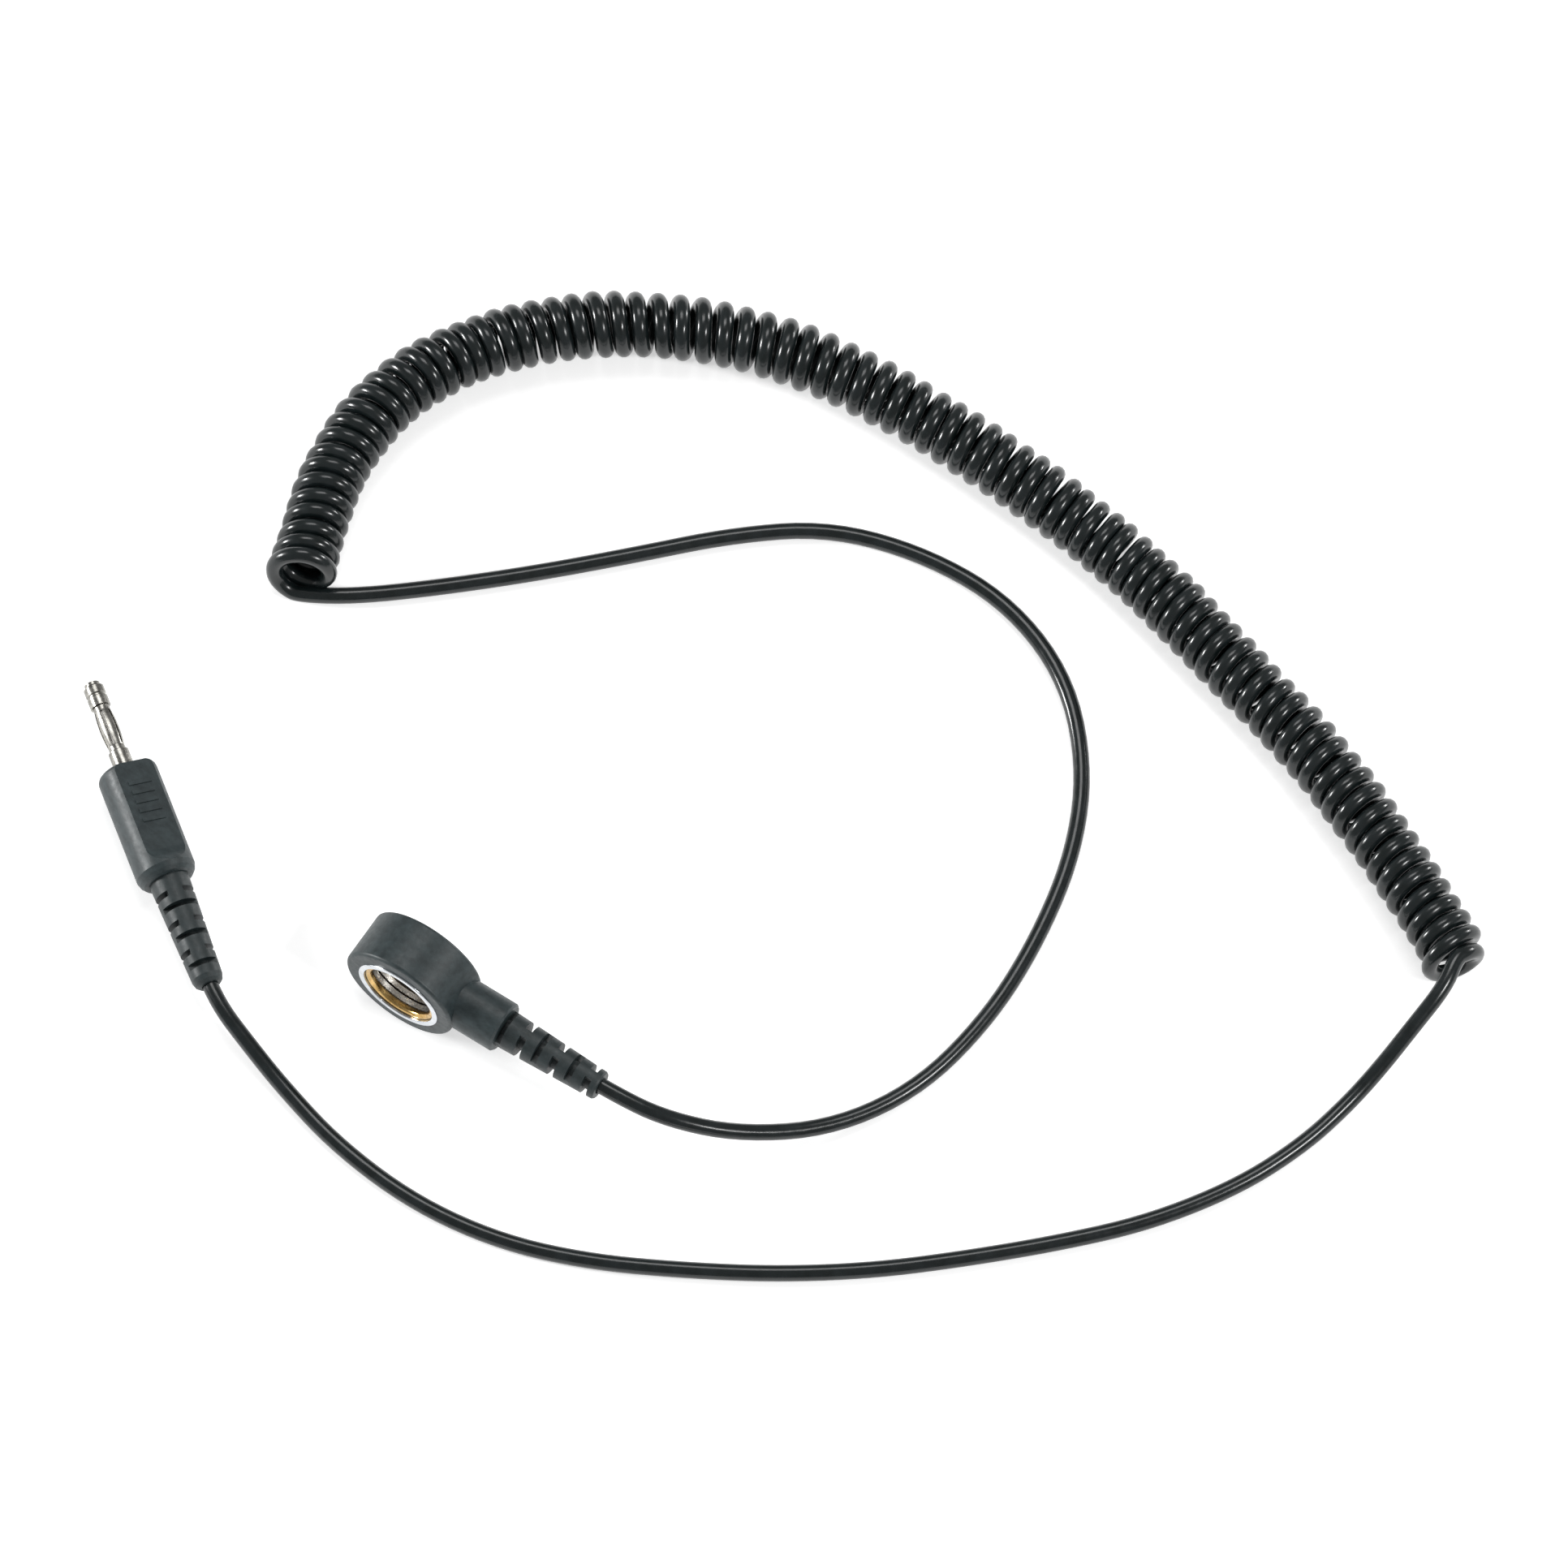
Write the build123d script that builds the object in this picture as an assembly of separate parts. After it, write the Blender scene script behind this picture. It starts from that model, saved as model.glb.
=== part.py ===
from build123d import *
import math
import os

# ESD ground cord: a snap-socket head and a banana plug, joined by a curly cord.
# Millimetres, +Z up. The part lies on the plane z = 0. The snap head stands on the rim of
# its drum: the mouth looks along -Y, the neck and its strain relief run along +X.

os.makedirs("parts", exist_ok=True)

# ---------------------------------------------------------------- driving dimensions
PIN_D = 4.0                # banana pin, the standard 4 mm size
CORD_D = 3.2               # jacket of the cord
COIL_OD = 12.8             # outside of the curly stretch
COIL_TURNS = 82.5          # close-wound turns of the curly stretch
WIRE_D = 1.1               # bared conductor

DRUM_R = 11.9              # drum of the snap head
DRUM_T = 10.8              # its thickness
NECK_R = 5.1
NECK_END = 20.7            # end face of the neck, from the drum's axis
SNAP_BOOT_END = 42.3       # end of the strain relief, from the drum's axis
MOUTH_R = 7.7              # inside of the bright ring
BEZEL_R = 8.9              # outside of the bright ring
PROUD = 0.3                # how far the ring and the rear boss stand out of the drum
CUP_R = 8.75               # outside of the socket cup

GRIP_R = 5.85              # moulded grip of the plug
GRIP_L = 24.2
PIN_L = 19.5               # pin in front of the grip
PLUG_BOOT_L = 22.9         # strain relief behind the grip
PLUG_YAW = -36.5           # heading of the plug, from its tip to its cord
PLUG_AT = (-85.3, 6.78)    # front face of the grip, on the floor plan
FLAT_ROLL = -15.6          # the grip's thumb flat is rolled this far from straight up

# ---------------------------------------------------------------- sizes that follow
CORD_R = CORD_D / 2
COIL_R = COIL_OD / 2
PIN_R = PIN_D / 2
HALF_T = DRUM_T / 2
FRONT = HALF_T + PROUD
SNAP_X = (DRUM_R - SNAP_BOOT_END) / 2        # centres the whole head on x = 0
SNAP_BORE_R = CORD_R + 0.1                   # cord bores of the strain reliefs
PLUG_BORE_R = CORD_R + 0.02

# Frames: the snap's axis out of its mouth, the neck's axis, the plug's axis to the cord.
SNAP = Plane(origin=(SNAP_X, 0, DRUM_R), x_dir=(1, 0, 0), z_dir=(0, -1, 0))
NECK = Plane(origin=(SNAP_X, 0, DRUM_R), x_dir=(0, 0, 1), z_dir=(1, 0, 0))
PLUG_DIR = (math.cos(math.radians(PLUG_YAW)), math.sin(math.radians(PLUG_YAW)), 0)
PLUG = Plane(origin=(PLUG_AT[0], PLUG_AT[1], GRIP_R), x_dir=(0, 0, 1), z_dir=PLUG_DIR)

# ---------------------------------------------------------------- the cord's route
# Lead of the snap head: out of the relief, down to the floor, round and into the coil.
SNAP_LEAD = [
    (4.3, 0.0, 11.9), (16.0, 0.1, 11.9), (29.0, 0.0, 12.0), (40.5, 1.5, 10.6),
    (53.0, 8.5, 5.5), (66.0, 20.5, 2.0), (75.0, 36.5, 1.6), (78.0, 55.5, 1.6),
    (77.0, 73.5, 1.6), (73.0, 92.5, 1.6), (65.0, 109.0, 1.6), (51.5, 123.0, 1.6),
    (33.5, 130.0, 1.6), (14.5, 129.5, 1.6), (-3.5, 124.0, 1.6), (-18.0, 112.5, 1.6),
    (-31.0, 99.0, 1.6), (-44.0, 86.0, 1.6), (-57.5, 73.5, 1.6), (-70.5, 62.5, 1.6),
    (-79.4, 57.2, 1.6),
]

# Axis of the curly stretch, from its open end on the left to its end on the right.
COIL_AXIS = [
    (-79.0, 55.5, 6.4), (-83.0, 66.5, 6.4), (-87.5, 81.0, 6.4), (-87.5, 97.5, 6.4),
    (-82.0, 112.0, 6.4), (-72.5, 124.5, 6.4), (-60.0, 135.5, 6.4), (-44.5, 144.0, 6.4),
    (-27.0, 149.5, 6.4), (-8.0, 151.5, 6.4), (12.0, 151.5, 6.4), (34.0, 150.0, 6.4),
    (56.0, 146.5, 6.4), (77.5, 140.5, 6.4), (98.5, 135.0, 6.4), (119.0, 127.0, 6.4),
    (140.0, 117.0, 6.4), (151.0, 111.0, 6.4),
]

# Lead of the plug: out of its relief, along the floor, up onto the coil's last turn.
PLUG_LEAD = [
    (-72.44, -2.74, 5.85), (-63.85, -9.1, 5.85), (-54.1, -16.3, 5.85), (-44.55, -23.4, 5.85),
    (-35.5, -26.5, 4.0), (-25.0, -29.8, 1.9), (-10.0, -34.0, 1.6), (8.5, -35.8, 1.6),
    (26.5, -33.5, 1.6), (43.0, -27.5, 1.6), (59.0, -19.0, 1.6), (74.0, -10.0, 1.6),
    (88.5, 0.5, 1.6), (101.5, 12.0, 1.6), (114.5, 24.5, 1.6), (126.5, 37.5, 1.6),
    (136.5, 53.0, 1.6), (142.0, 67.0, 1.6), (144.4, 78.5, 1.7), (146.0, 87.5, 4.0),
    (147.4, 96.5, 8.0), (148.6, 105.5, 11.0), (149.5, 112.0, 11.2),
]


# ---------------------------------------------------------------- helpers
def save(node, shape):
    export_step(shape, "parts/" + node + ".step")


def turned(profile):
    """A solid of revolution about local Z from (radius, height) points."""
    outline = Polyline(*[(r, 0, h) for r, h in profile], close=True)
    return revolve(make_face(outline), Axis.Z, 360)


def tube(outer, inner, low, high):
    """A plain ring about local Z."""
    return turned([(inner, low), (outer, low), (outer, high), (inner, high)])


def rod(radius, low, high):
    return Pos(0, 0, (low + high) / 2) * Cylinder(radius, high - low)


def corner_radii(points):
    """The largest tangent arc at each corner, 0.45 of its shorter run."""
    places = [Vector(*p) for p in points]
    radii = []
    for before, here, after in zip(places, places[1:], places[2:]):
        first = here - before
        second = after - here
        half_turn = math.radians(first.get_angle(second)) / 2
        radii.append(0.45 * min(first.length, second.length) / math.tan(half_turn))
    return radii


def swept(points, radius, name):
    """A tube along straight runs joined by tangent arcs; its volume is checked."""
    radii = corner_radii(points)
    path = FilletPolyline(*points, radius=radii)
    start = Plane(origin=path @ 0, z_dir=path % 0)
    solid = sweep(start * Circle(radius), path=path)
    ideal = math.pi * radius ** 2 * path.length
    print(name, "length", round(path.length, 1), "smallest radius", round(min(radii), 1),
          "volume over ideal", round(solid.volume / ideal, 4))
    return solid, path.length


def relief_slots(side_places, top_places, width, start, web, core):
    """Cuts of a strain relief about local Z, in pairs on both sides and in pairs at top and
    bottom. They leave a flat web of this half width and a round core of this radius."""
    cuts = []
    for place in side_places:
        for sign in (1, -1):
            cuts.append(Pos(0, sign * (web + 3), start + place) * Box(10.0, 6.0, width))
    for place in top_places:
        for sign in (1, -1):
            cuts.append(Pos(sign * (web + 3), 0, start + place) * Box(6.0, 10.0, width))
    block = Part() + cuts
    return block - rod(core, start - 5, start + 30)


# ---------------------------------------------------------------- snap head
def snap_housing():
    """Drum with a side neck, open at the mouth and at the back."""
    drum = fillet(Cylinder(DRUM_R, DRUM_T).edges().filter_by(GeomType.CIRCLE), 0.7)
    neck = rod(NECK_R, 0, NECK_END)
    neck = chamfer(neck.edges().group_by(Axis.Z)[-1], 0.4)
    body = SNAP * drum + NECK * neck
    body -= SNAP * rod(CUP_R, -HALF_T + 1, HALF_T + 1)
    body -= SNAP * rod(BEZEL_R, HALF_T - 0.2, HALF_T + 1)
    body -= SNAP * rod(CAP_R, -HALF_T - 1, CAP_INNER)
    body -= NECK * rod(NECK_BORE_R, CUP_R - 1, NECK_END + 1)
    return body


CAP_R = 9.6                # press-in disc that closes the back of the drum
CAP_INNER = -HALF_T + 2.0
NECK_BORE_R = 3.2
FLOOR = -1.0               # floor of the socket cup, along the snap's axis
TAG_T = 0.4
RING_AT = 4.38             # plane of the spring ring
RING_WIRE = 1.6
RING_BORE_R = 6.6


def snap_rear_cap():
    disc = rod(CAP_R, -HALF_T, CAP_INNER)
    boss = chamfer(rod(7.6, -FRONT, -HALF_T).edges().group_by(Axis.Z)[0], 0.2)
    return SNAP * (disc + boss)


def socket_cup():
    """Turned cup: a groove for the spring ring, two bands with grooves, then the seat."""
    inside = [
        (0.9, FLOOR), (7.1, FLOOR), (7.1, 0.1), (8.2, 0.1), (8.2, 0.8), (7.6, 0.8),
        (7.6, 1.8), (8.25, 1.8), (8.25, 2.2), (7.6, 2.2), (7.6, 3.25), (8.35, 3.25),
        (8.35, HALF_T - 0.2),
    ]
    outside = [(CUP_R, HALF_T - 0.2), (CUP_R, FLOOR - 0.6), (0.9, FLOOR - 0.6)]
    return SNAP * turned(inside + outside)


def socket_bezel():
    """Bright ring round the mouth, with a rolled edge."""
    ring = tube(BEZEL_R, MOUTH_R, HALF_T - 0.2, FRONT)
    rolled = fillet(ring.edges().group_by(Axis.Z)[-1], 0.22)
    return SNAP * rolled


def spring_ring():
    """Split ring of round wire, with a narrow land inside that grips the stud."""
    wire_r = RING_WIRE / 2
    round_wire = Pos(RING_BORE_R + wire_r - 0.05, 0) * Circle(wire_r)
    section = round_wire - Pos(RING_BORE_R - 1, 0) * Rectangle(2, 2)
    wire = revolve(Plane.XZ * section, Axis.Z, 348)
    return SNAP * (Pos(0, 0, RING_AT) * Rot(0, 0, 96) * wire)


def socket_rivet():
    tail_top = FLOOR - 0.6 - TAG_T
    profile = [
        (0, FLOOR + 0.7), (0.9, FLOOR + 0.6), (1.6, FLOOR + 0.3), (1.8, FLOOR),
        (0.9, FLOOR), (0.9, tail_top), (1.6, tail_top), (1.4, tail_top - 0.5),
        (0, tail_top - 0.5),
    ]
    return SNAP * turned(profile)


def contact_tag():
    strip = Pos(3.9, 0, 0) * Box(12.0, 3.0, TAG_T)
    strip = fillet(strip.edges().filter_by(Axis.Z), 0.6)
    hole = Cylinder(0.9, TAG_T + 1)
    return SNAP * (Pos(0, 0, FLOOR - 0.6 - TAG_T / 2) * (strip - hole))


RES_START = 11.0           # safety resistor in the neck, from the drum's axis
RES_END = 16.0
FERRULE = (16.8, 19.5)
SHEATH_START = 19.45       # where the jacket of the cord begins


def resistor_body():
    body = [
        (0, RES_START), (1.0, RES_START), (1.1, RES_START + 0.2), (1.1, RES_START + 1.1),
        (0.95, RES_START + 1.4), (0.95, RES_END - 1.4), (1.1, RES_END - 1.1),
        (1.1, RES_END - 0.2), (1.0, RES_END), (0, RES_END),
    ]
    return NECK * turned(body)


def resistor_lead_front():
    """Wire from the tag across to the neck's axis."""
    lie = 1.6 - 0.3
    points = [
        (SNAP_X + 8.95, lie, DRUM_R), (SNAP_X + 9.8, lie, DRUM_R),
        (SNAP_X + 10.4, 0, DRUM_R), (SNAP_X + RES_START, 0, DRUM_R),
    ]
    path = FilletPolyline(*points, radius=0.35)
    start = Plane(origin=path @ 0, z_dir=path % 0)
    return sweep(start * Circle(0.3), path=path)


def resistor_lead_rear():
    return NECK * rod(0.3, RES_END, FERRULE[0] + 1.0)


def resistor_sleeve():
    return NECK * tube(1.45, 1.15, RES_START - 0.2, RES_END + 0.4)


def snap_ferrule():
    low, high = FERRULE
    profile = [
        (0.3, low), (0.95, low), (0.95, high - 1.8), (0.8, high - 1.5), (0.8, high - 0.7),
        (0.95, high - 0.4), (0.95, high), (WIRE_D / 2, high), (WIRE_D / 2, low + 1.0),
        (0.3, low + 1.0),
    ]
    return NECK * turned(profile)


def snap_core_wire():
    return NECK * rod(WIRE_D / 2, FERRULE[0] + 1.0, SHEATH_START)


def snap_cord_clamp():
    return NECK * tube(2.5, CORD_R, SHEATH_START + 0.1, NECK_END - 0.1)


def snap_boot():
    """Strain relief: root in the neck, tapered slotted body, thin end flange."""
    root = 18.5
    end = SNAP_BOOT_END
    outline = [
        (2.5, root), (NECK_BORE_R, root), (NECK_BORE_R, NECK_END), (3.78, NECK_END),
        (2.95, end - 0.35), (2.7, end), (SNAP_BORE_R, end), (SNAP_BORE_R, NECK_END - 0.1),
        (2.5, NECK_END - 0.1),
    ]
    body = turned(outline)
    sides = relief_slots((4.8, 12.15, 19.5), (), 1.5, NECK_END, 0.9, 1.9)
    tops = relief_slots((), (8.5, 15.85), 1.3, NECK_END, 0.9, 1.9)
    first = relief_slots((), (0.6,), 1.2, NECK_END, 0.9, 1.9)
    return NECK * (body - sides - tops - first)


# ---------------------------------------------------------------- banana plug
HEAD_BACK = -PIN_L + 5.3   # back of the pin's bright tip
COLLAR_FRONT = -4.4        # front of the collar at the foot of the pin
ROD_R = 1.2
SHANK_END = 9.0
PLUG_SHEATH = 16.0         # where the jacket of the cord begins in the plug
BOOT_ROOT = 20.5


def pin_core():
    return PLUG * rod(ROD_R, -PIN_L + 2.0, SHANK_END)


def pin_head():
    """Tip with two collars and a groove between them."""
    tip = -PIN_L
    profile = [
        (0, tip), (1.1, tip), (1.5, tip + 0.25), (1.5, tip + 0.8), (PIN_R, tip + 1.2),
        (PIN_R, tip + 2.7), (1.75, tip + 2.9), (1.75, tip + 3.2), (PIN_R, tip + 3.4),
        (PIN_R, HEAD_BACK), (ROD_R, HEAD_BACK), (ROD_R, tip + 2.0), (0, tip + 2.0),
    ]
    return PLUG * turned(profile)


def pin_spring_cage():
    """Lantern of six leaves that turns on the rod."""
    front = HEAD_BACK + 0.1
    back = COLLAR_FRONT - 0.1
    middle = (front + back) / 2
    wall = 0.35
    foot = ROD_R + 0.07 + wall
    belly = 1.9
    outer = ThreePointArc((foot, 0, front + 0.9), (belly, 0, middle), (foot, 0, back - 0.9))
    inner = ThreePointArc((foot - wall, 0, back - 0.9), (belly - wall, 0, middle),
                          (foot - wall, 0, front + 0.9))
    front_end = Polyline((foot - wall, 0, front + 0.9), (foot - wall, 0, front),
                         (foot, 0, front), (foot, 0, front + 0.9))
    back_end = Polyline((foot, 0, back - 0.9), (foot, 0, back), (foot - wall, 0, back),
                        (foot - wall, 0, back - 0.9))
    section = make_face((Curve() + [outer, back_end, inner, front_end]).edges())
    cage = revolve(section, Axis.Z, 360)
    for index in range(6):
        slot = Pos(2.0, 0, middle) * Box(2.4, 0.45, back - front - 2.2)
        cage -= Rot(0, 0, 60 * index + 15) * slot
    return PLUG * cage


def pin_collar():
    profile = [
        (ROD_R, COLLAR_FRONT), (PIN_R - 0.15, COLLAR_FRONT), (PIN_R, COLLAR_FRONT + 0.15),
        (PIN_R, 0), (ROD_R, 0),
    ]
    return PLUG * turned(profile)


def pin_shank():
    """Grooved foot of the pin, moulded into the grip."""
    profile = [(ROD_R, 0), (2.3, 0)]
    for index in range(4):
        groove = 1.5 + 2.0 * index
        profile += [(2.3, groove), (1.7, groove + 0.25), (1.7, groove + 0.75),
                    (2.3, groove + 1.0)]
    profile += [(2.3, SHANK_END), (ROD_R, SHANK_END)]
    return PLUG * turned(profile)


def plug_grip():
    """Round grip with a thumb flat that ends in a curved ramp, and low ribs on it."""
    outline = [
        (2.3, 0), (5.15, 0), (5.5, 0.25), (5.75, 0.7), (GRIP_R, 1.3),
        (GRIP_R, GRIP_L - 1.9), (5.5, GRIP_L - 0.9), (4.9, GRIP_L - 0.2), (4.3, GRIP_L),
        (3.6, GRIP_L), (3.6, BOOT_ROOT), (2.6, BOOT_ROOT), (2.6, SHANK_END),
        (2.3, SHANK_END),
    ]
    body = turned(outline)
    flat = 4.3
    ramp = GRIP_L - 5.2
    side = Polyline((flat, 0, ramp), (flat, 0, -1), (9, 0, -1), (9, 0, ramp + 3.8),
                    (6.6, 0, ramp + 3.8))
    curve = ThreePointArc((6.6, 0, ramp + 3.8), (flat + 0.75, 0, ramp + 2.1), (flat, 0, ramp))
    section = make_face((Curve() + [side, curve]).edges())
    cut = extrude(section, 9, both=True, dir=(0, 1, 0))
    grip = body - cut
    for index in range(5):
        rib = Pos(flat, 0, 4.6 + 2.0 * index) * Box(0.5, 4.6, 0.8)
        grip += rib
    return PLUG * (Rot(0, 0, FLAT_ROLL) * grip)


def plug_boot():
    """Strain relief of the plug: three pairs of side slots, three of top slots."""
    end = GRIP_L + PLUG_BOOT_L
    outline = [
        (PLUG_BORE_R, BOOT_ROOT), (3.6, BOOT_ROOT), (3.6, GRIP_L), (3.9, GRIP_L),
        (3.06, end - 1.6), (2.75, end - 0.6), (2.1, end), (PLUG_BORE_R, end),
    ]
    body = turned(outline)
    slots = relief_slots((3.6, 9.9, 16.2), (6.4, 12.7, 19.0), 1.15, GRIP_L, 1.5, 1.82)
    return PLUG * (body - slots)


def plug_ferrule():
    return PLUG * tube(1.2, WIRE_D / 2, SHANK_END + 0.2, PLUG_SHEATH - 2.4)


def plug_core_wire():
    return PLUG * rod(WIRE_D / 2, SHANK_END, PLUG_SHEATH)


def plug_cord_clamp():
    return PLUG * tube(2.55, CORD_R, PLUG_SHEATH + 0.4, PLUG_SHEATH + 3.6)


# ---------------------------------------------------------------- write every node
PIECES = [
    snap_housing, snap_rear_cap, socket_cup, socket_bezel, spring_ring, socket_rivet,
    contact_tag, resistor_body, resistor_lead_front, resistor_lead_rear, resistor_sleeve,
    snap_ferrule, snap_core_wire, snap_cord_clamp, snap_boot,
    pin_core, pin_head, pin_spring_cage, pin_collar, pin_shank,
    plug_grip, plug_boot, plug_ferrule, plug_core_wire, plug_cord_clamp,
]
for piece in PIECES:
    save(piece.__name__, piece())

snap_tube, snap_length = swept(SNAP_LEAD, CORD_R, "snap lead")
save("cord_snap_lead", snap_tube)
plug_tube, plug_length = swept(PLUG_LEAD, CORD_R, "plug lead")
save("cord_plug_lead", plug_tube)
coil_solid, axis_length = swept(COIL_AXIS, COIL_R, "coil axis")
save("cord_coil", coil_solid)

turn_length = math.hypot(2 * math.pi * (COIL_R - CORD_R), axis_length / COIL_TURNS)
coil_length = COIL_TURNS * turn_length
print("cord in the coil", round(coil_length, 0),
      "whole cord", round(coil_length + snap_length + plug_length, 0))
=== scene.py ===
"""Looks of the ESD ground cord: a curly cord with a snap-socket head and a banana plug."""
import math

import bpy
import numpy as np
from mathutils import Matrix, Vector


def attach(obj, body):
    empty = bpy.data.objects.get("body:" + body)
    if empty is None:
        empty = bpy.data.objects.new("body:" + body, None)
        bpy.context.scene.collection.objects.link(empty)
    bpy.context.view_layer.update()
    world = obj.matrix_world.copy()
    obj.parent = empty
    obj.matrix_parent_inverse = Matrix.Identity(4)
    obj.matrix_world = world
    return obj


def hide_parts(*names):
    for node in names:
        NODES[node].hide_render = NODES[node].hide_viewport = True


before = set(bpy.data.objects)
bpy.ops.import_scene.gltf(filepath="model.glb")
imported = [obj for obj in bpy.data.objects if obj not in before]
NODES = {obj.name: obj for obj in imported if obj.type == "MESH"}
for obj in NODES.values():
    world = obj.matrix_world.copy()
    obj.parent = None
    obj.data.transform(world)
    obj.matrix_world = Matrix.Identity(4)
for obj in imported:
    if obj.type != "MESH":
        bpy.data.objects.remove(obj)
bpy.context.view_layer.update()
MM = 0.001

# ---------------------------------------------------------------- camera
AZIMUTH = math.radians(33.5)
ELEVATION = math.radians(66.0)
VIEW_WIDTH = 0.2972
CAMERA_DISTANCE = 10.0
AIM = Vector((0.0186, 0.0756, 0.0))


def view_vector():
    """From the object towards the camera."""
    flat = math.cos(ELEVATION)
    return Vector((math.sin(AZIMUTH) * flat, -math.cos(AZIMUTH) * flat, math.sin(ELEVATION)))


def add_camera():
    data = bpy.data.cameras.new("camera")
    data.lens = data.sensor_width * CAMERA_DISTANCE / VIEW_WIDTH
    data.clip_end = 40
    camera = bpy.data.objects.new("camera", data)
    camera.location = AIM + view_vector() * CAMERA_DISTANCE
    camera.rotation_euler = (-view_vector()).to_track_quat("-Z", "Y").to_euler()
    bpy.context.scene.collection.objects.link(camera)
    bpy.context.scene.camera = camera


# ---------------------------------------------------------------- the cord's route
CORD_R = 1.6 * MM
CUP_AXIS = (-15.2 * MM, 0, 11.9 * MM)
COIL_TURNS = 82.5
COIL_WIND_R = 4.8 * MM          # from the coil's axis to the middle of the cord
COIL_BEGIN = 1.6 * MM           # from the start of the axis to the first turn
COIL_END = 3.8 * MM             # from the last turn to the end of the axis
LAST_TURN_TUCK = 1.4 * MM       # how far the last turn moves in towards the lead
OPEN_END_FLARE = 0.08           # how much wider the first turns are, as a share
POINTS_PER_TURN = 14

# The route's control points: the snap head's lead, the coil's axis and the plug's lead.
SNAP_LEAD = [
    (0.0043, 0.0, 0.0119), (0.016, 0.0001, 0.0119), (0.029, 0.0, 0.012),
    (0.0405, 0.0015, 0.0106), (0.053, 0.0085, 0.0055), (0.066, 0.0205, 0.002),
    (0.075, 0.0365, 0.0016), (0.078, 0.0555, 0.0016), (0.077, 0.0735, 0.0016),
    (0.073, 0.0925, 0.0016), (0.065, 0.109, 0.0016), (0.0515, 0.123, 0.0016),
    (0.0335, 0.13, 0.0016), (0.0145, 0.1295, 0.0016), (-0.0035, 0.124, 0.0016),
    (-0.018, 0.1125, 0.0016), (-0.031, 0.099, 0.0016), (-0.044, 0.086, 0.0016),
    (-0.0575, 0.0735, 0.0016), (-0.0705, 0.0625, 0.0016), (-0.0794, 0.0572, 0.0016),
]

COIL_AXIS = [
    (-0.079, 0.0555, 0.0064), (-0.083, 0.0665, 0.0064), (-0.0875, 0.081, 0.0064),
    (-0.0875, 0.0975, 0.0064), (-0.082, 0.112, 0.0064), (-0.0725, 0.1245, 0.0064),
    (-0.06, 0.1355, 0.0064), (-0.0445, 0.144, 0.0064), (-0.027, 0.1495, 0.0064),
    (-0.008, 0.1515, 0.0064), (0.012, 0.1515, 0.0064), (0.034, 0.15, 0.0064),
    (0.056, 0.1465, 0.0064), (0.0775, 0.1405, 0.0064), (0.0985, 0.135, 0.0064),
    (0.119, 0.127, 0.0064), (0.14, 0.117, 0.0064), (0.151, 0.111, 0.0064),
]

PLUG_LEAD = [
    (-0.07244, -0.00274, 0.00585), (-0.06385, -0.0091, 0.00585), (-0.0541, -0.0163, 0.00585),
    (-0.04455, -0.0234, 0.00585), (-0.0355, -0.0265, 0.004), (-0.025, -0.0298, 0.0019),
    (-0.01, -0.034, 0.0016), (0.0085, -0.0358, 0.0016), (0.0265, -0.0335, 0.0016),
    (0.043, -0.0275, 0.0016), (0.059, -0.019, 0.0016), (0.074, -0.01, 0.0016),
    (0.0885, 0.0005, 0.0016), (0.1015, 0.012, 0.0016), (0.1145, 0.0245, 0.0016),
    (0.1265, 0.0375, 0.0016), (0.1365, 0.053, 0.0016), (0.142, 0.067, 0.0016),
    (0.1444, 0.0785, 0.0017), (0.146, 0.0875, 0.004), (0.1474, 0.0965, 0.008),
    (0.1486, 0.1055, 0.011), (0.1495, 0.112, 0.0112),
]

# How far apart the coil's turns lie along its axis, by tenths of its length, in mm.
TURN_SPACING = [3.15, 3.35, 3.35, 3.75, 3.85, 3.7, 3.5, 3.4, 3.7, 3.7, 3.4]
# How far the top of each turn leads its foot, at these shares of the coil's length, in mm.
LEAN_SHARES = [0.0, 0.06, 0.12, 0.2, 0.25, 0.32, 0.4, 0.5, 0.6, 0.66, 0.72, 0.92, 1.0]
LEAN = [2.0, 1.9, 1.0, 1.3, 0.3, 0.2, 1.4, 1.8, 1.7, 1.0, 0.2, 0.0, 0.3]


def smooth_points(points, steps):
    """Points along the smooth line that has these control points."""
    data = bpy.data.curves.new("route", "CURVE")
    data.dimensions = "3D"
    spline = data.splines.new("NURBS")
    spline.points.add(len(points) - 1)
    for place, point in zip(points, spline.points):
        point.co = (*place, 1.0)
    spline.order_u = 3
    spline.use_endpoint_u = True
    spline.resolution_u = steps
    holder = bpy.data.objects.new("route", data)
    bpy.context.scene.collection.objects.link(holder)
    bpy.context.view_layer.update()
    mesh = bpy.data.meshes.new_from_object(holder)
    line = np.array([v.co for v in mesh.vertices])
    bpy.data.meshes.remove(mesh)
    bpy.data.objects.remove(holder)
    bpy.data.curves.remove(data)
    return line


def lengths_along(line):
    steps = np.linalg.norm(np.diff(line, axis=0), axis=1)
    return np.concatenate([[0.0], np.cumsum(steps)])


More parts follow.
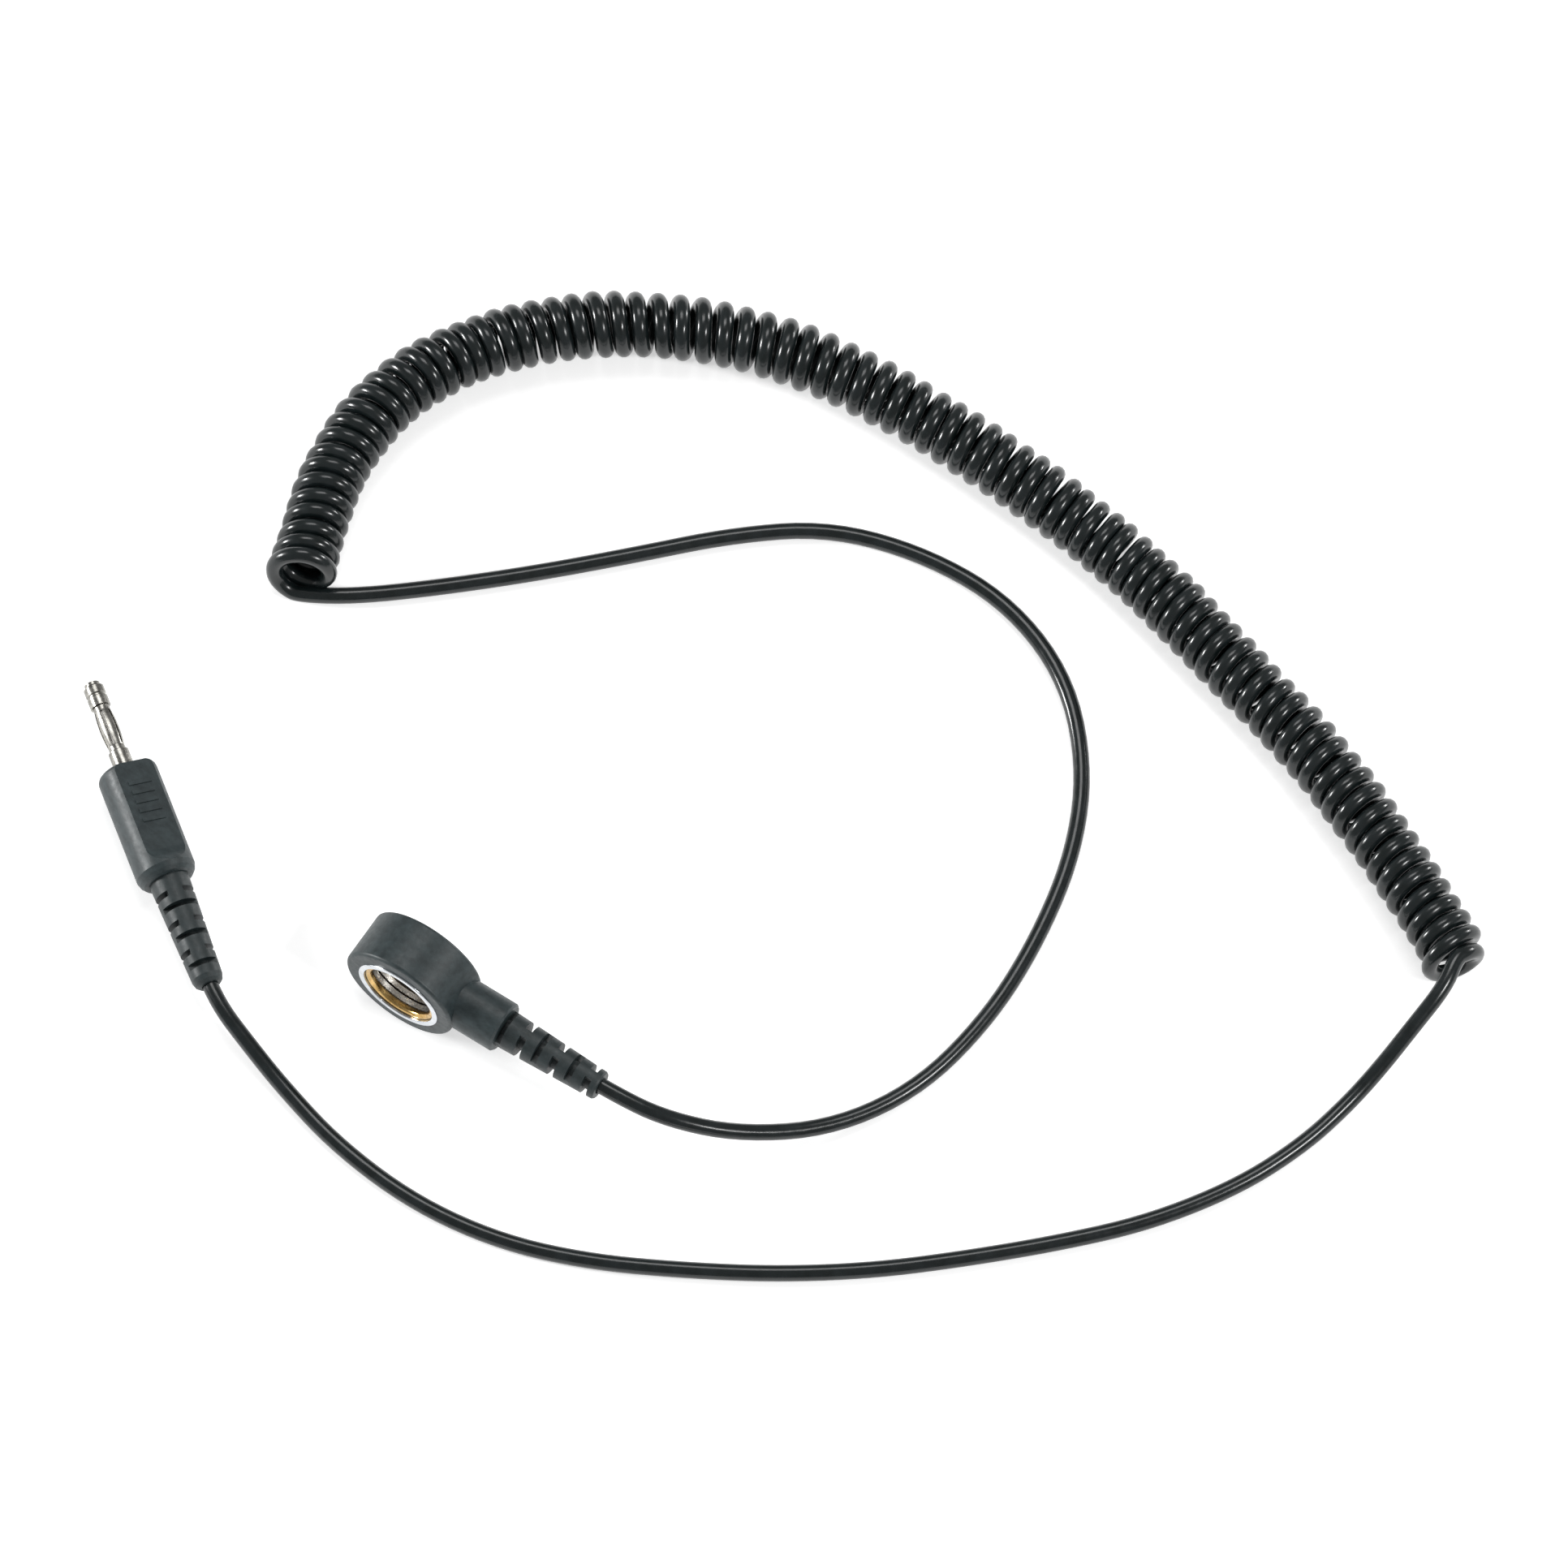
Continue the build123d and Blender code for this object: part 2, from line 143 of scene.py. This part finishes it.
def helix_points(axis):
    """The curly stretch, a right-hand helix round its axis from the open end to the other.

    It starts under the axis and ends over it. Turns stand on the floor and lean forward, and
    their spacing and width drift a little, as in a used cord. The last turn tucks in towards
    the lead. The points lie just outside the line, which cuts the corners between them."""
    along = lengths_along(axis)
    begin = COIL_BEGIN
    end = along[-1] - COIL_END
    count = int(COIL_TURNS * POINTS_PER_TURN) + 1
    fine = np.linspace(0.0, 1.0, 2000)
    rate = 1.0 / np.interp(fine, np.linspace(0, 1, len(TURN_SPACING)), TURN_SPACING)
    turned = np.concatenate([[0.0], np.cumsum((rate[1:] + rate[:-1]) / 2)])
    turned /= turned[-1]
    share = np.linspace(0.0, 1.0, count)
    places = begin + (end - begin) * np.interp(share, turned, fine)
    centre = np.stack([np.interp(places, along, axis[:, i]) for i in range(3)], axis=1)
    heading = np.gradient(centre, axis=0)
    heading /= np.linalg.norm(heading, axis=1)[:, None]
    down = np.array([0.0, 0.0, -1.0])
    side = np.cross(heading, down)
    angle = 2 * math.pi * COIL_TURNS * share
    drift = 0.014 * np.sin(0.21 * angle + 0.6) + 0.012 * np.sin(0.083 * angle + 2.0)
    flare = OPEN_END_FLARE * np.clip(1.0 - angle / (3 * math.pi), 0.0, 1.0)
    radius = COIL_WIND_R * (1.0 + drift + flare - 0.006)
    reach = radius / math.cos(math.pi / POINTS_PER_TURN)
    foot = centre * [1, 1, 0] + (radius + CORD_R)[:, None] * -down
    wobble = 0.11 * MM * np.sin(0.37 * angle) + 0.08 * MM * np.sin(0.61 * angle + 1.3)
    lean = MM * np.interp(share, LEAN_SHARES, LEAN) * (1.0 - np.cos(angle)) / 2
    tuck = LAST_TURN_TUCK * np.clip(angle / (2 * math.pi) - COIL_TURNS + 1.25, 0.0, 1.0)
    return (foot + (reach * np.cos(angle))[:, None] * down
            + (reach * np.sin(angle) - tuck)[:, None] * side + (wobble + lean)[:, None] * heading)


def add_cord():
    coil = helix_points(smooth_points(COIL_AXIS, 16))
    line = np.concatenate([SNAP_LEAD[:-1], coil, PLUG_LEAD[-2::-1]])
    data = bpy.data.curves.new("cord", "CURVE")
    data.dimensions = "3D"
    data.bevel_depth = 1.0         # times each point's radius; its box counts the radius
    data.bevel_resolution = 5
    data.use_fill_caps = True
    spline = data.splines.new("NURBS")
    spline.points.add(len(line) - 1)
    for place, point in zip(line, spline.points):
        point.co = (*place, 1.0)
        point.radius = CORD_R
    spline.order_u = 3
    spline.use_endpoint_u = True
    spline.resolution_u = 6
    cord = bpy.data.objects.new("cord", data)
    bpy.context.scene.collection.objects.link(cord)
    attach(cord, "cord_set")
    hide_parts("cord_snap_lead", "cord_coil", "cord_plug_lead")
    return cord


add_camera()
cord = add_cord()


# ---------------------------------------------------------------- materials
class Nodes:
    """A material's node tree, with short names for what the recipes below need."""

    def __init__(self, name):
        self.material = bpy.data.materials.new(name)
        self.material.use_nodes = True
        self.tree = self.material.node_tree
        self.shader = self.tree.nodes["Principled BSDF"]

    def add(self, kind, **values):
        node = self.tree.nodes.new(kind)
        for name, value in values.items():
            setattr(node, name, value)
        return node

    def link(self, source, target):
        self.tree.links.new(source, target)

    def noise(self, scale, detail=4.0, roughness=0.5, stretch=(1, 1, 1)):
        """Noise laid on the piece in its own metres."""
        place = self.add("ShaderNodeTexCoord")
        mapping = self.add("ShaderNodeMapping")
        mapping.inputs["Scale"].default_value = stretch
        noise = self.add("ShaderNodeTexNoise")
        noise.inputs["Scale"].default_value = scale
        noise.inputs["Detail"].default_value = detail
        noise.inputs["Roughness"].default_value = roughness
        self.link(place.outputs["Object"], mapping.inputs["Vector"])
        self.link(mapping.outputs["Vector"], noise.inputs["Vector"])
        return noise.outputs["Fac"]

    def spread(self, source, low, high, begin=0.3, end=0.7):
        """The source, remapped from begin..end to low..high."""
        node = self.add("ShaderNodeMapRange")
        node.inputs["From Min"].default_value = begin
        node.inputs["From Max"].default_value = end
        node.inputs["To Min"].default_value = low
        node.inputs["To Max"].default_value = high
        self.link(source, node.inputs["Value"])
        return node.outputs["Result"]

    def colours(self, source, first, second):
        """Two colours mixed by the source."""
        ramp = self.add("ShaderNodeValToRGB")
        ramp.color_ramp.elements[0].position = 0.35
        ramp.color_ramp.elements[1].position = 0.65
        ramp.color_ramp.elements[0].color = (*first, 1.0)
        ramp.color_ramp.elements[1].color = (*second, 1.0)
        self.link(source, ramp.inputs["Fac"])
        self.link(ramp.outputs["Color"], self.shader.inputs["Base Color"])

    def bump(self, source, strength, depth):
        node = self.add("ShaderNodeBump")
        node.inputs["Strength"].default_value = strength
        node.inputs["Distance"].default_value = depth
        self.link(source, node.inputs["Height"])
        self.link(node.outputs["Normal"], self.shader.inputs["Normal"])


def moulded_plastic(name, dark, light, rough_low, rough_high):
    """Satin moulding: fine spark-eroded grain, flow streaks and slow changes of gloss."""
    n = Nodes(name)
    n.colours(n.noise(420, 6, 0.6, (1, 1.4, 2.4)), dark, light)
    n.link(n.spread(n.noise(900, 3), rough_low, rough_high), n.shader.inputs["Roughness"])
    n.bump(n.noise(4200, 2, 0.6), 0.3, 0.00004)
    n.shader.inputs["Specular IOR Level"].default_value = 0.5
    return n.material


def cord_jacket():
    """Glossy black jacket with the slight drag marks of extrusion and a little dust."""
    n = Nodes("cord_jacket")
    n.colours(n.noise(320, 4), (0.004, 0.007, 0.007), (0.009, 0.013, 0.014))
    n.link(n.spread(n.noise(700, 4), 0.17, 0.27), n.shader.inputs["Roughness"])
    n.bump(n.noise(1500, 3), 0.1, 0.00003)
    n.shader.inputs["Specular IOR Level"].default_value = 0.5
    return n.material


def plated(name, colour, worn, rough_low, rough_high, grain=2600):
    """Plated metal with fine turning grain and thin wear."""
    n = Nodes(name)
    n.colours(n.noise(600, 5, 0.6), colour, worn)
    n.link(n.spread(n.noise(grain, 3), rough_low, rough_high), n.shader.inputs["Roughness"])
    n.bump(n.noise(grain, 2), 0.06, 0.00002)
    n.shader.inputs["Metallic"].default_value = 1.0
    return n.material


def cup_plating_painted_groove_shade():
    """Nickel plate of the socket cup, with painted shade in its grooves: near black beyond about
    7.8 mm from the cup's axis.
    """
    n = Nodes("cup_nickel_painted_groove_shade")
    place = n.add("ShaderNodeTexCoord")
    from_axis = n.add("ShaderNodeVectorMath", operation="SUBTRACT")
    from_axis.inputs[1].default_value = CUP_AXIS
    flat = n.add("ShaderNodeVectorMath", operation="MULTIPLY")
    flat.inputs[1].default_value = (1, 0, 1)
    distance = n.add("ShaderNodeVectorMath", operation="LENGTH")
    n.link(place.outputs["Object"], from_axis.inputs[0])
    n.link(from_axis.outputs["Vector"], flat.inputs[0])
    n.link(flat.outputs["Vector"], distance.inputs[0])
    # painted shade: the grooves' bottoms, far from the cup's axis, turn near black
    depth = n.spread(distance.outputs["Value"], 0.3, 0.7, 7.65 * MM, 7.95 * MM)
    n.colours(depth, (0.8, 0.79, 0.77), (0.08, 0.07, 0.06))
    n.link(n.spread(n.noise(1800, 3), 0.2, 0.34), n.shader.inputs["Roughness"])
    n.bump(n.noise(2200, 2), 0.05, 0.00002)
    n.shader.inputs["Metallic"].default_value = 1.0
    return n.material


def paint_nodes():
    moulding = moulded_plastic("moulding", (0.011, 0.019, 0.021), (0.026, 0.039, 0.042),
                               0.4, 0.52)
    relief = moulded_plastic("relief", (0.008, 0.014, 0.015), (0.019, 0.028, 0.03), 0.4, 0.54)
    # painted shade: the pin's nickel is a much darker copy of the bezel's nickel
    pin = plated("pin_nickel", (0.19, 0.185, 0.17), (0.4, 0.39, 0.36), 0.2, 0.32)
    nickel = plated("nickel", (0.56, 0.59, 0.62), (0.68, 0.7, 0.73), 0.14, 0.26)
    cup = cup_plating_painted_groove_shade()
    wire = plated("tinned", (0.62, 0.6, 0.58), (0.74, 0.72, 0.69), 0.22, 0.38)
    gold = plated("gold_wire", (0.4, 0.24, 0.07), (0.7, 0.48, 0.2), 0.16, 0.28)
    brass = plated("brass", (0.72, 0.58, 0.3), (0.8, 0.68, 0.4), 0.25, 0.4)
    copper = plated("copper", (0.75, 0.4, 0.24), (0.85, 0.5, 0.32), 0.25, 0.4)
    blue = moulded_plastic("resistor_lacquer", (0.2, 0.42, 0.6), (0.24, 0.48, 0.66), 0.3, 0.4)
    paints = {
        moulding: ["snap_housing", "snap_rear_cap", "plug_grip", "snap_cord_clamp",
                   "plug_cord_clamp", "resistor_sleeve"],
        relief: ["snap_boot", "plug_boot"],
        nickel: ["socket_bezel"],
        pin: ["pin_head", "pin_collar", "pin_spring_cage"],
        cup: ["socket_cup"],
        wire: ["socket_rivet", "contact_tag", "resistor_lead_front", "resistor_lead_rear",
               "pin_core"],
        gold: ["spring_ring"],
        brass: ["pin_shank", "snap_ferrule", "plug_ferrule"],
        copper: ["snap_core_wire", "plug_core_wire"],
        blue: ["resistor_body"],
    }
    for material, names in paints.items():
        for name in names:
            NODES[name].data.materials.clear()
            NODES[name].data.materials.append(material)


cord.data.materials.append(cord_jacket())
paint_nodes()


# ---------------------------------------------------------------- floor and light
FLOOR_HALF = 6.0
FLOOR_DROP = 0.00005            # keeps the floor clear of what stands on it


def add_floor():
    mesh = bpy.data.meshes.new("floor")
    near, far = -FLOOR_HALF, FLOOR_HALF
    corners = [(near, near, 0), (far, near, 0), (far, far, 0), (near, far, 0)]
    mesh.from_pydata(corners, [], [(0, 1, 2, 3)])
    floor = bpy.data.objects.new("floor", mesh)
    floor.location.z = -FLOOR_DROP
    n = Nodes("floor")
    n.colours(n.noise(3, 2), (0.86, 0.86, 0.86), (0.88, 0.88, 0.88))
    n.shader.inputs["Roughness"].default_value = 0.9
    n.shader.inputs["Specular IOR Level"].default_value = 0.1
    n.shader.inputs["Emission Color"].default_value = (1, 1, 1, 1)
    n.shader.inputs["Emission Strength"].default_value = 0.5
    mesh.materials.append(n.material)
    bpy.context.scene.collection.objects.link(floor)


def add_softbox(name, right, back, height, size, power):
    """A square softbox at a place given from the camera's side, aimed at the object."""
    data = bpy.data.lights.new(name, "AREA")
    data.shape = "RECTANGLE"
    data.size = size
    data.size_y = size * 0.7
    data.energy = power
    lamp = bpy.data.objects.new(name, data)
    across = Vector((math.cos(AZIMUTH), math.sin(AZIMUTH), 0))
    away = Vector((-math.sin(AZIMUTH), math.cos(AZIMUTH), 0))
    lamp.location = AIM + across * right + away * back + Vector((0, 0, height))
    lamp.rotation_euler = (AIM - lamp.location).to_track_quat("-Z", "Y").to_euler()
    bpy.context.scene.collection.objects.link(lamp)


def add_lights():
    add_softbox("key", -1.45, 0.22, 0.44, 0.34, 18)
    add_softbox("fill", 1.0, -0.6, 1.2, 0.4, 12)
    add_softbox("rim", 1.25, 0.77, 0.35, 0.3, 6)
    add_softbox("top", -0.1, 0.85, 2.0, 1.1, 12)
    world = bpy.data.worlds.new("studio")
    world.use_nodes = True
    world.node_tree.nodes["Background"].inputs["Color"].default_value = (1, 1, 1, 1)
    world.node_tree.nodes["Background"].inputs["Strength"].default_value = 0.3
    bpy.context.scene.world = world
    bpy.context.scene.view_settings.view_transform = "Standard"


add_floor()
add_lights()
